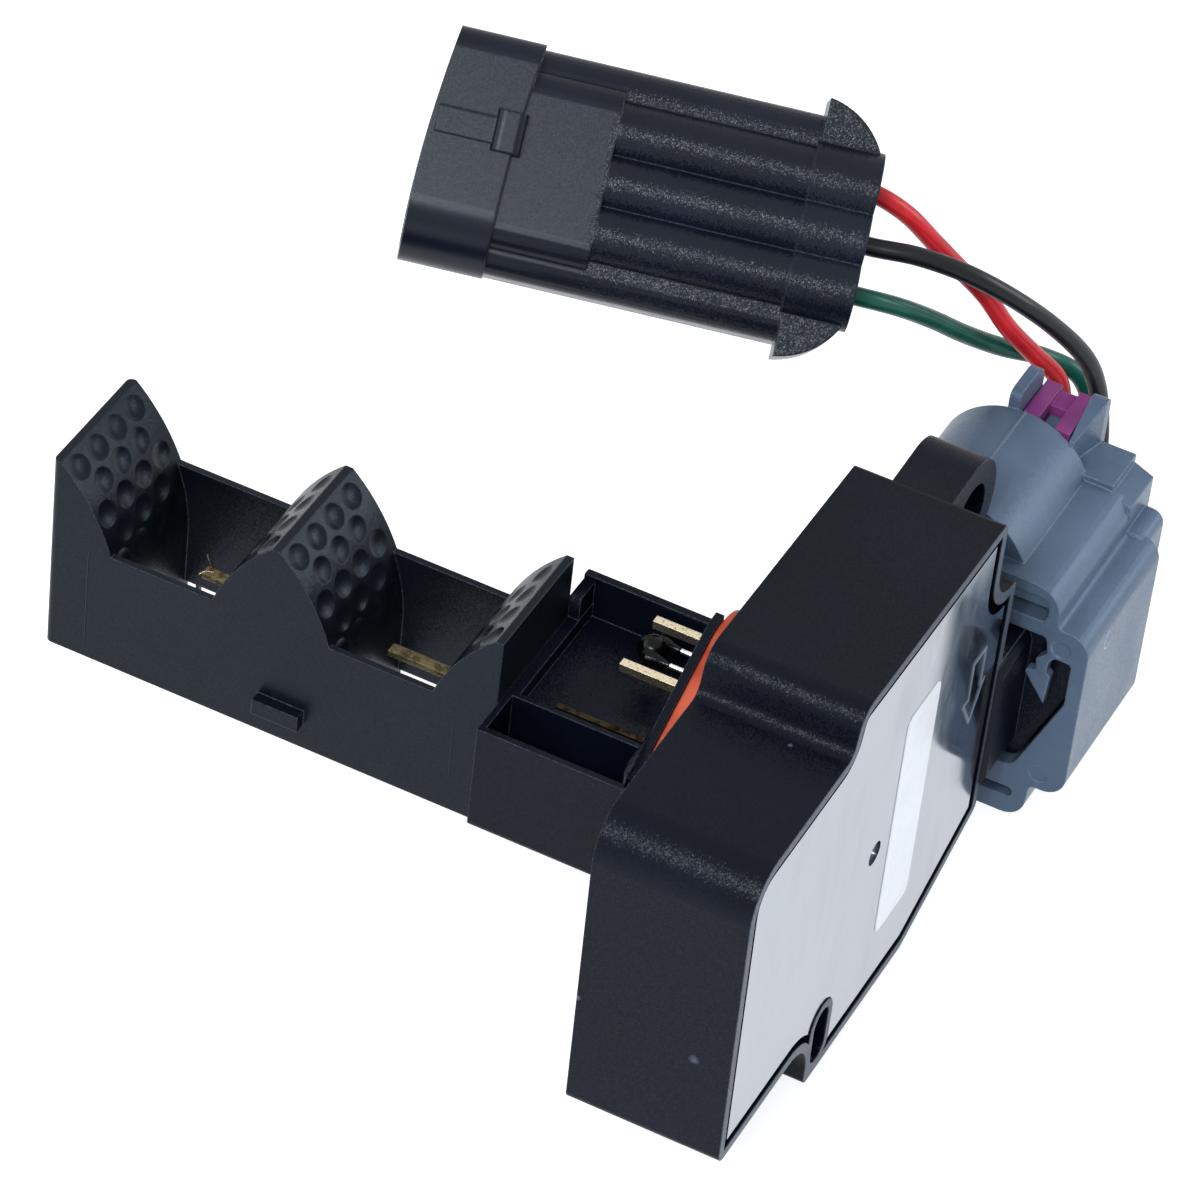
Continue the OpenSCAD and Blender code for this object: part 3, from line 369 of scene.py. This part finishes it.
housing_plastic = moulded_plastic(
    "housing_plastic", *(tone(*t) for t in HOUSING_TONES),
    rough=0.38, edge=0.0003, gloss=0.04, glint=0.18, crystals=6200,
    rim=RIM_X, scuffs=SCUFFS_MM,
)
smoothed_copy("housing_moulding", "sensor_housing", housing_plastic)
probe_plastic = moulded_plastic(
    "probe_plastic", *(tone(*t) for t in PROBE_TONES),
    rough=0.36, edge=0.0003, gloss=0.18, glint=0.03, crystals=6200,
)
dress(probe_plastic, "flow_probe")

# Marks on the mouldings
# Fine witness lines where two halves of the mould met, each a hair proud of the face and painted paler as
# a painted highlight.
WITNESS_LINES_MM = {
    "probe_witness": [(-79.2, -17.42, 8.6), (-79.2, -17.42, -6.7)],
    "root_witness": [(-28.5, -17.42, 5.7), (-28.5, -17.42, -3.2)],
}
WITNESS_RADIUS = 0.00005
# Paler tones for the lines: a painted highlight along their ridge.
WITNESS_HIGHLIGHT_TONES = ((52, 58, 69), (62, 68, 80))

witness_highlight_plastic = moulded_plastic(
    "witness_highlight_plastic", *(tone(*t) for t in WITNESS_HIGHLIGHT_TONES),
    rough=0.4, edge=0.00005, gloss=0.1, glint=0.0, crystals=4400,
)
for name, ends in WITNESS_LINES_MM.items():
    line = 0.001 * np.linspace(*np.array(ends), 8)
    add_piece(name, tube_mesh(name, line, WITNESS_RADIUS, 8), witness_highlight_plastic)

# Cover
# A flat lid of the same plastic with a polished face, laid on the ledge inside the rim and glued
# all round. Wipe marks run up and down its mirror.
COVER_TONES = ((9, 10, 13), (28, 31, 38))
COVER_FACE = 0.0203


def polished_plastic(name, dark, pale):
    """Polished face: two mirror layers over a near black colour, dulled by wipe marks. The marks
    are noise drawn out along Z, and the roughness follows their share."""
    material, tree, shader, place = new_material(
        name, {"IOR": 2.7, "Specular Tint": (0.76, 0.86, 1.0, 1.0), "Coat Weight": 0.68,
               "Coat IOR": 1.78, "Coat Roughness": 0.08}
    )
    drawn = add_node(
        tree, "ShaderNodeMapping", {"Vector": place, "Scale": (1.0, 1.0, 0.35)}
    ).outputs["Vector"]
    wiped = noise(tree, drawn, 130, 5.0, 0.7)
    share = spread(tree, wiped, 0.42, 0.7, 0.0, 1.0)
    tree.links.new(blend_colours(tree, share, dark, pale), shader.inputs["Base Color"])
    tree.links.new(spread(tree, wiped, 0.35, 0.7, 0.07, 0.28), shader.inputs["Roughness"])
    waves = {"Strength": 0.5, "Distance": 0.0001, "Height": noise(tree, place, 90, 2.0)}
    tree.links.new(add_node(tree, "ShaderNodeBump", waves).outputs["Normal"], shader.inputs["Normal"])
    return material


dress(polished_plastic("cover_plastic", *(tone(*t) for t in COVER_TONES)), "housing_cover")

# Label
# A bare white film with rounded corners, stuck on the cover beside its round mark.
LABEL_CORNERS_MM = ((6.1, -24.4), (15.6, 11.7))
LABEL_CORNER_RADIUS_MM = 1.5
LABEL_THICKNESS = 0.00012
LABEL_TONES = ((232, 235, 241), (238, 241, 247))


def rounded_outline(low, high, radius, steps=10):
    """Rectangle with round corners, anticlockwise from its lower right: four quarter circles, each
    about a corner's own centre, joined by their ends. Gives rows of Y and Z."""
    (y0, z0), (y1, z1) = low, high
    centres = np.array([(y1 - radius, z0 + radius), (y1 - radius, z1 - radius),
                        (y0 + radius, z1 - radius), (y0 + radius, z0 + radius)])
    turn = (np.arange(4)[:, None] - 1) * math.pi / 2 + np.linspace(0, math.pi / 2, steps)[None, :]
    arcs = centres[:, None] + radius * np.stack([np.cos(turn), np.sin(turn)], axis=-1)
    return arcs.reshape(-1, 2)


def raised_rings(name, rings, heights, **options):
    """Outlines in Y and Z, one for each height above the cover, joined ring to ring."""
    x = np.broadcast_to(COVER_FACE + np.array(heights)[:, None, None], (*rings.shape[:2], 1))
    return grid_mesh(name, np.concatenate([x, 0.001 * rings], axis=-1), smooth=False, **options)


def label_film(name, dark, pale):
    """Printed film: bare white with a faint mottle, under a clear satin layer."""
    material, tree, shader, place = new_material(name, {"Coat Weight": 0.5, "Coat Roughness": 0.15})
    mottle = spread(tree, noise(tree, place, 420, 3.0), 0.35, 0.65, 0.0, 1.0)
    tree.links.new(blend_colours(tree, mottle, dark, pale), shader.inputs["Base Color"])
    satin = spread(tree, noise(tree, place, 200), 0.3, 0.7, 0.3, 0.42)
    tree.links.new(satin, shader.inputs["Roughness"])
    grain = {"Strength": 0.4, "Distance": 0.00002, "Height": noise(tree, place, 1500)}
    tree.links.new(add_node(tree, "ShaderNodeBump", grain).outputs["Normal"], shader.inputs["Normal"])
    return material


outline = rounded_outline(*LABEL_CORNERS_MM, LABEL_CORNER_RADIUS_MM)
inner = rounded_outline(
    *(np.array(LABEL_CORNERS_MM) + [[0.06], [-0.06]]), LABEL_CORNER_RADIUS_MM - 0.06
)
add_piece(
    "cover_label",
    raised_rings(
        "cover_label", np.stack([outline, outline, inner]),
        [0, 0.7 * LABEL_THICKNESS, LABEL_THICKNESS], caps=(0, 2),
    ),
    label_film("label_film", *(tone(*t) for t in LABEL_TONES)),
)

# Arrow
# The direction of the air, moulded in the cover as a raised outline with a frosted top.
ARROW_MM = [(30.9, -0.9), (30.9, 5.0), (26.8, 5.0), (26.8, -0.9), (25.1, -0.9), (28.6, -6.5), (32.1, -0.9)]
ARROW_STROKE_MM = 0.52
ARROW_HEIGHT = 0.00014
ARROW_TONES = ((96, 104, 118), (122, 130, 144))


def drawn_in(corners, stroke):
    """The outline drawn in by the stroke: a corner moves along the sum of the inward directions of
    its two sides, over one plus their cosine."""
    side = np.roll(corners, -1, axis=0) - corners
    side /= np.linalg.norm(side, axis=1, keepdims=True)
    inward = np.stack([-side[:, 1], side[:, 0]], axis=1)
    before = np.roll(inward, 1, axis=0)
    return corners + stroke * (before + inward) / (1 + (before * inward).sum(1, keepdims=True))


arrow = np.array(ARROW_MM)
arrow_in = drawn_in(arrow, ARROW_STROKE_MM)
arrow_plastic = moulded_plastic(
    "arrow_plastic", *(tone(*t) for t in ARROW_TONES),
    rough=0.5, edge=0.0001, gloss=0.3, glint=0.0, crystals=5200,
)
add_piece(
    "cover_arrow",
    raised_rings(
        "cover_arrow", np.stack([arrow, arrow, arrow_in, arrow_in]),
        [0, ARROW_HEIGHT, ARROW_HEIGHT, 0], close_along=True,
    ),
    arrow_plastic,
)

# Gasket
# A soft orange silicone ring, pressed between the flange and the box.
GASKET_TONES = ((196, 74, 48), (228, 104, 74))


def soft_rubber(name, dark, pale, rough):
    """Moulded rubber: matte, with a slow change of colour and a dusty, faintly pitted skin."""
    material, tree, shader, place = new_material(
        name, {"IOR": 1.42, "Specular IOR Level": 0.3, "Sheen Weight": 0.15, "Sheen Roughness": 0.5}
    )
    clouds = spread(tree, noise(tree, place, 240, 3.0), 0.35, 0.65, 0.0, 1.0)
    tree.links.new(blend_colours(tree, clouds, dark, pale), shader.inputs["Base Color"])
    tree.links.new(
        spread(tree, noise(tree, place, 500), 0.3, 0.7, rough - 0.08, rough + 0.08),
        shader.inputs["Roughness"],
    )
    bump = {"Strength": 0.6, "Distance": 0.00004, "Height": noise(tree, place, 3000)}
    tree.links.new(add_node(tree, "ShaderNodeBump", bump).outputs["Normal"], shader.inputs["Normal"])
    return material


dress(soft_rubber("gasket_rubber", *(tone(*t) for t in GASKET_TONES), 0.6), "gasket")

# Posts, bars, contacts and leads
# Stamped brass with a thin tin plating. The posts are still bright, with fine brown specks. The
# bars in the windows have dulled, and the bar beside the pocket is brown with old flux.
POST_TONES = ((176, 146, 98), (232, 220, 192))
BAR_TONES = ((98, 88, 64), (150, 138, 104))
FLUX_TONES = ((34, 27, 20), (66, 56, 40))
LEAD_TONES = ((176, 178, 180), (244, 244, 242))


def plated_metal(name, dull, bright, per_metre, rough, bright_from=0.4):
    """Plated metal: bright plating where noise passes bright_from and dull tarnish elsewhere, with
    the roughness higher where it is dull."""
    material, tree, shader, place = new_material(name, {"Metallic": 1.0})
    patches = noise(tree, place, per_metre, 4.0, 0.65)
    share = spread(tree, patches, bright_from, bright_from + 0.12, 0.0, 1.0)
    tree.links.new(blend_colours(tree, share, dull, bright), shader.inputs["Base Color"])
    tree.links.new(spread(tree, share, 0.0, 1.0, rough + 0.2, rough), shader.inputs["Roughness"])
    rounded = add_node(tree, "ShaderNodeBevel", {"Radius": 0.0001}, samples=4).outputs["Normal"]
    bump = {"Strength": 0.7, "Distance": 0.00003, "Height": patches, "Normal": rounded}
    tree.links.new(add_node(tree, "ShaderNodeBump", bump).outputs["Normal"], shader.inputs["Normal"])
    return material


bright_brass = plated_metal("bright_brass", *(tone(*t) for t in POST_TONES), 2400, 0.26, 0.34)
dress(
    bright_brass, "post_front", "post_rear",
    *(f"{part}_{colour}" for part in ("terminal", "adapter_pin") for colour in WIRE_ROUTES_MM),
)
dull_brass = plated_metal("dull_brass", *(tone(*t) for t in BAR_TONES), 900, 0.36)
dress(dull_brass, "window_stub", "window_bar")
dress(plated_metal("flux_brass", *(tone(*t) for t in FLUX_TONES), 700, 0.45), "root_bar")
bright_lead = plated_metal("bright_lead", *(tone(*t) for t in LEAD_TONES), 1500, 0.14, 0.3)
dress(bright_lead, "bead_leads", *(f"blade_{colour}" for colour in WIRE_ROUTES_MM))

# Strands on the window stub
# Two fine ends of wire left at the tip of the stub where it was welded.
STRANDS_MM = {
    "strand_upright": [(-68.0, -7.5, 6.0), (-67.85, -6.9, 4.4), (-67.6, -6.4, 2.95)],
    "strand_flat": [(-67.2, -6.8, 3.0), (-68.2, -7.3, 3.05), (-68.9, -7.9, 2.7)],
}
STRAND_RADIUS = 0.00012

for name, knots in STRANDS_MM.items():
    strand = tube_mesh(name, smooth_line(knots, 8), STRAND_RADIUS, 10)
    add_piece(name, strand, dull_brass)

# Temperature bead
# A drop of black epoxy, cured shiny over a tiny thermistor. It was dipped, so a tapering skin of
# the same epoxy runs a little way along both leads.
SKIRT_YS = (-0.00295, 0.00015)
SKIRT_Z = 0.014
SKIRT_XS = (-0.0106, -0.0075)
SKIRT_RADII = (0.0011, 0.00038)


def cured_drop(name, dark, pale):
    """Cured epoxy: black, very glossy, with slow waves in its skin."""
    material, tree, shader, place = new_material(
        name, {"Roughness": 0.07, "IOR": 1.45, "Specular IOR Level": 0.15, "Coat Weight": 0.12,
               "Coat Roughness": 0.04}
    )
    shade = spread(tree, noise(tree, place, 500), 0.35, 0.65, 0.0, 1.0)
    tree.links.new(blend_colours(tree, shade, dark, pale), shader.inputs["Base Color"])
    waves = {"Strength": 0.7, "Distance": 0.0006, "Height": noise(tree, place, 520, 1.0)}
    tree.links.new(add_node(tree, "ShaderNodeBump", waves).outputs["Normal"], shader.inputs["Normal"])
    return material


def tapered_skin(name, y):
    """Circles carried along a lead. Their radius falls from the drop's to the lead's by the cosine
    of half a turn, so the skin starts and ends along the lead."""
    t = np.linspace(0, 1, 24)[:, None]
    turn = np.linspace(0, 2 * math.pi, 24, endpoint=False)[None, :]
    first, last = SKIRT_RADII
    radius = last + (first - last) * (1 + np.cos(math.pi * t)) / 2
    x = SKIRT_XS[0] + (SKIRT_XS[1] - SKIRT_XS[0]) * t + 0 * turn
    rings = np.stack([x, y + radius * np.cos(turn), SKIRT_Z + radius * np.sin(turn)], axis=-1)
    return grid_mesh(name, rings, caps=(0, 23))


bead_epoxy = cured_drop("bead_epoxy", tone(3, 3, 4), tone(8, 9, 11))
dress(bead_epoxy, "temperature_bead")
for name, y in zip(("bead_skin_front", "bead_skin_rear"), SKIRT_YS):
    add_piece(name, tapered_skin(name, y), bead_epoxy)

# Circuit board
# Glass-fibre board under green solder resist, hidden behind the cover.


def solder_resist(name):
    """Board: green resist over paler tracks that run square to each other, with a satin skin."""
    material, tree, shader, place = new_material(name, {"IOR": 1.5, "Coat Weight": 0.3})
    tracks = add_node(
        tree, "ShaderNodeTexBrick",
        {"Vector": place, "Scale": 320.0, "Mortar Size": 0.04, "Color1": tone(16, 74, 44),
         "Color2": tone(20, 84, 50), "Mortar": tone(60, 130, 86)},
    )
    tree.links.new(tracks.outputs["Color"], shader.inputs["Base Color"])
    tree.links.new(
        spread(tree, noise(tree, place, 300), 0.3, 0.7, 0.3, 0.45), shader.inputs["Roughness"]
    )
    return material


dress(solder_resist("board_resist"), "circuit_board")

# Grey connector
# An injection-moulded cable connector in grey nylon, smoother than the black parts. Its sprue was
# cut off on the flat side and left a small round gate mark. A pale raised crescent on one side of it is a
# painted highlight, and the connector's edges are painted pale in specks as painted highlights.
CONNECTOR_TONES = ((80, 96, 116), (92, 109, 131))
# Pale tones for the connector's edges and the sprue crescent: painted highlights.
CONNECTOR_HIGHLIGHT_TONES = ((166, 180, 200), (182, 196, 214))
SPRUE_MARK_MM = {"x": 29.55, "y": 50.6, "z": -4.3, "radius": 1.5, "stroke": 0.12}

connector_plastic = moulded_plastic(
    "connector_plastic", *(tone(*t) for t in CONNECTOR_TONES),
    rough=0.36, edge=0.0004, gloss=0.32, glint=0.0, crystals=4200, wear_and_highlight_tone=CONNECTOR_HIGHLIGHT_TONES[0],
)
dress(connector_plastic, "connector_housing")
connector_highlight_plastic = moulded_plastic(
    "connector_highlight_plastic", *(tone(*t) for t in CONNECTOR_HIGHLIGHT_TONES),
    rough=0.4, edge=0.0001, gloss=0.4, glint=0.0, crystals=4200,
)
# The crescent is only the side of the gate mark that catches the light: a painted highlight.
turn = np.radians(np.linspace(100, 260, 30))
mark = SPRUE_MARK_MM
lit_crescent = 0.001 * np.stack([
    np.full(30, mark["x"]), mark["y"] + mark["radius"] * np.cos(turn),
    mark["z"] + mark["radius"] * np.sin(turn),
], axis=1)
add_piece(
    "sprue_highlight", tube_mesh("sprue_highlight", lit_crescent, 0.001 * mark["stroke"], 12), connector_highlight_plastic,
)

# Connector seals
# Black silicone: the ring between connector and shroud, and one plug seal on each wire.
seal_rubber = soft_rubber("seal_rubber", tone(28, 29, 32), tone(44, 45, 50), 0.55)
dress(
    seal_rubber, "interface_seal",
    *(f"{part}_{colour}" for part in ("seal", "adapter_seal") for colour in WIRE_ROUTES_MM),
)

# Purple lock
# The lock that slides in the grey guards to hold the connector's latch, moulded in purple.
LOCK_TONES = ((124, 47, 110), (140, 62, 127))
# Pale tone for the lock's edges: part wear, part painted highlight.
LOCK_WEAR_AND_HIGHLIGHT_TONE = (176, 104, 164)

lock_plastic = moulded_plastic(
    "lock_plastic", *(tone(*t) for t in LOCK_TONES),
    rough=0.34, edge=0.0003, gloss=0.35, glint=0.0, crystals=4200, wear_and_highlight_tone=LOCK_WEAR_AND_HIGHLIGHT_TONE,
)
dress(lock_plastic, "connector_lock")

# Adapter
# The three-way plug of the vehicle side, in black nylon. Its mouth and the raised plate behind it
# are smooth, and from the ridges on, towards the wires, the grain is coarse and shiny.
ADAPTER_TONES = ((11, 16, 27), (17, 24, 37))
# Pale tone for the adapter's edges: part wear, part painted highlight.
ADAPTER_EDGE_WEAR_AND_HIGHLIGHT_TONE = (62, 70, 84)
RIDGES_FROM = ((0.9307, 0.348, -0.1132), -0.0295)

adapter_plastic = moulded_plastic(
    "adapter_plastic", *(tone(*t) for t in ADAPTER_TONES),
    rough=0.34, edge=0.0004, gloss=0.045, glint=0.38, crystals=7000, wear_and_highlight_tone=ADAPTER_EDGE_WEAR_AND_HIGHLIGHT_TONE,
    grain_from=RIDGES_FROM,
)
dress(adapter_plastic, "adapter_housing")

# Studio
# A plain pale floor under the part and soft light from large panels, with a white background.
FLOOR_REACH = 3.0
PANELS = {
    "key_panel": ((0.04, -0.74, 0.78), (0.8, 0.3), 7.0),
    "key_lamp": ((0.05, -0.73, 0.77), (0.09, 0.09), 2.0),
    "left_panel": ((-0.85, -0.35, 0.5), (0.7, 0.7), 2.0),
    "back_panel": ((0.72, 0.6, 0.34), (0.6, 0.4), 4.0),
}

low, high = cad_box
middle = (low + high) / 2
floor_mesh = bpy.data.meshes.new("floor")
corners = FLOOR_REACH * np.array([(-1, -1, 0), (1, -1, 0), (1, 1, 0), (-1, 1, 0)], float)
floor_mesh.from_pydata((corners + np.array([middle.x, middle.y, low.z])).tolist(), [], [(0, 1, 2, 3)])
floor = bpy.data.objects.new("floor", floor_mesh)
bpy.context.scene.collection.objects.link(floor)


def seen_white(tree):
    """1 for rays that come straight from the camera, off gloss or through glass, and 0 for light."""
    path = add_node(tree, "ShaderNodeLightPath").outputs
    direct = add_node(
        tree, "ShaderNodeMath", {0: path["Is Camera Ray"], 1: path["Is Glossy Ray"]},
        operation="MAXIMUM",
    ).outputs[0]
    return add_node(
        tree, "ShaderNodeMath", {0: direct, 1: path["Is Transmission Ray"]}, operation="MAXIMUM"
    ).outputs[0]


floor_paint, tree, shader, place = new_material("floor_paint", {"Roughness": 0.9})
shader.inputs["Specular IOR Level"].default_value = 0.0
tree.links.new(
    blend_colours(tree, noise(tree, place, 6), tone(222, 224, 228), tone(228, 230, 234)),
    shader.inputs["Base Color"],
)
shader.inputs["Emission Color"].default_value = (1, 1, 1, 1)
glow = add_node(tree, "ShaderNodeMath", {0: seen_white(tree), 1: 0.7}, operation="MULTIPLY")
tree.links.new(glow.outputs[0], shader.inputs["Emission Strength"])
floor_mesh.materials.append(floor_paint)

world = bpy.data.worlds.new("studio")
bpy.context.scene.world = world
world.use_nodes = True
sky = world.node_tree
back = sky.nodes["Background"]
back.inputs["Color"].default_value = (1, 1, 1, 1)
glow = add_node(
    sky, "ShaderNodeMapRange",
    {"Value": seen_white(sky), "To Min": 0.3, "To Max": 1.0},
)
sky.links.new(glow.outputs["Result"], back.inputs["Strength"])

for name, (place, size, power) in PANELS.items():
    lamp = bpy.data.lights.new(name, "AREA")
    lamp.shape = "RECTANGLE"
    lamp.size, lamp.size_y = size
    lamp.energy = power
    lamp.color = (0.9, 0.95, 1.0)
    panel = bpy.data.objects.new(name, lamp)
    bpy.context.scene.collection.objects.link(panel)
    aim = (middle - Vector(place)).to_track_quat("-Z", "Y")
    panel.matrix_world = Matrix.Translation(place) @ aim.to_matrix().to_4x4()
